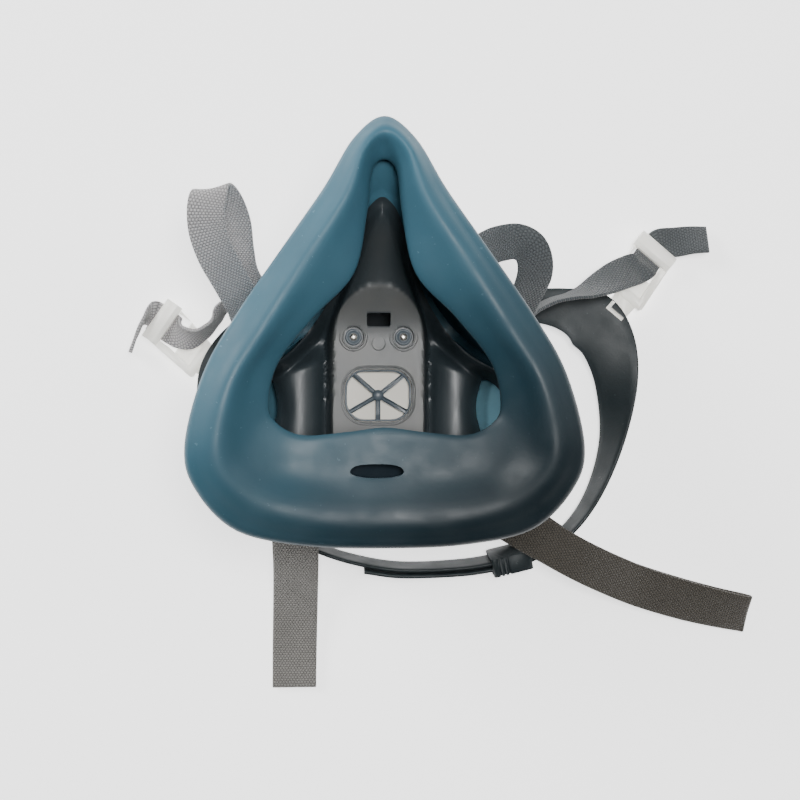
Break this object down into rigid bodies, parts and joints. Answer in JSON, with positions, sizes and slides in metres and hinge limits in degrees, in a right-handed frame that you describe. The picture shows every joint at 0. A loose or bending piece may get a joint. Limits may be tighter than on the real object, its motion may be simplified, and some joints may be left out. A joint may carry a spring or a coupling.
{
  "type": "half-mask respirator body",
  "caption": "Half-mask respirator body with a soft triangular face seal, hard centre adapter, side filter ports, elastic straps, buckles and a head cradle, lying on its front.",
  "frame": {"origin": "on the table under the middle of the exhalation window, on the yoke's flat underside", "axes": "+X to the right of the face opening as seen from above with the nose up the page, +Y from chin to nose, +Z from the table towards the wearer"},
  "size_m": [0.2268, 0.1936, 0.0885],
  "materials": {
    "silicone_teal": "satin moulded silicone",
    "adapter_grey": "semi-gloss moulded",
    "housing_grey": "matt moulded",
    "seat_grey": "semi-gloss moulded",
    "valve_cream": "matt silicone",
    "valve_teal": "matt silicone",
    "gasket_black": "matt",
    "screw_steel": "plain",
    "yoke_grey": "satin moulded",
    "cradle_grey": "satin moulded",
    "buckle_milky": "milky translucent",
    "webbing_grey": "woven elastic",
    "webbing_taupe": "woven elastic"
  },
  "bodies": {
    "mask": {"face_seal": "silicone_teal", "center_adapter": "adapter_grey", "front_housing": "housing_grey", "adapter_screw_left": "screw_steel", "adapter_screw_right": "screw_steel", "exhalation_seat": "seat_grey", "bayonet_left": "housing_grey", "bayonet_right": "housing_grey", "port_gasket_left": "gasket_black", "port_gasket_right": "gasket_black", "harness_yoke": "yoke_grey", "upper_strap_left": "webbing_grey", "upper_strap_right": "webbing_grey", "lower_strap_left": "webbing_grey", "lower_strap_right": "webbing_taupe", "neck_clasp_hook": "cradle_grey", "neck_clasp_loop": "cradle_grey"},
    "exhalation_flap": {"exhalation_valve": "valve_cream"},
    "inhalation_flap_left": {"inhalation_valve_left": "valve_teal"},
    "inhalation_flap_right": {"inhalation_valve_right": "valve_teal"},
    "cover": {"exhalation_cover": "housing_grey"},
    "buckle_left": {"buckle_left": "buckle_milky"},
    "buckle_right": {"buckle_right": "buckle_milky"},
    "cradle": {"head_cradle": "cradle_grey", "cradle_keeper": "cradle_grey"}
  },
  "joints": [
    {"name": "exhalation_flap_lift", "type": "slide", "parent": "mask", "child": "exhalation_flap", "axis": [0, 0, -1], "range_m": [0, 0.0015], "stiffness_N_per_m": 20, "springref_m": -0.001},
    {"name": "inhalation_flap_left_lift", "type": "slide", "parent": "mask", "child": "inhalation_flap_left", "axis": [0.76, 0, 0.65], "range_m": [0, 0.0015], "stiffness_N_per_m": 20, "springref_m": -0.0005},
    {"name": "inhalation_flap_right_lift", "type": "slide", "parent": "mask", "child": "inhalation_flap_right", "axis": [-0.76, 0, 0.65], "range_m": [0, 0.0015], "stiffness_N_per_m": 20, "springref_m": -0.0005},
    {"name": "cover_slide", "type": "slide", "parent": "mask", "child": "cover", "axis": [0, -1, 0], "range_m": [0, 0.018]},
    {"name": "buckle_left_turn", "type": "hinge", "parent": "mask", "child": "buckle_left", "pos_m": [-0.0555, 0.008, 0.0045], "axis": [0, 0, 1], "range_deg": [-10, 10], "deforming": ["upper_strap_left"]},
    {"name": "buckle_right_turn", "type": "hinge", "parent": "mask", "child": "buckle_right", "pos_m": [0.088, 0.03, 0.0045], "axis": [0, 0, 1], "range_deg": [-10, 10], "deforming": ["upper_strap_right"]},
    {"name": "cradle_swing", "type": "hinge", "parent": "mask", "child": "cradle", "pos_m": [0.088, 0.03, 0.007], "axis": [-0.9885, -0.1515, 0], "range_deg": [0, 3], "deforming": ["lower_strap_left", "lower_strap_right"]}
  ]
}
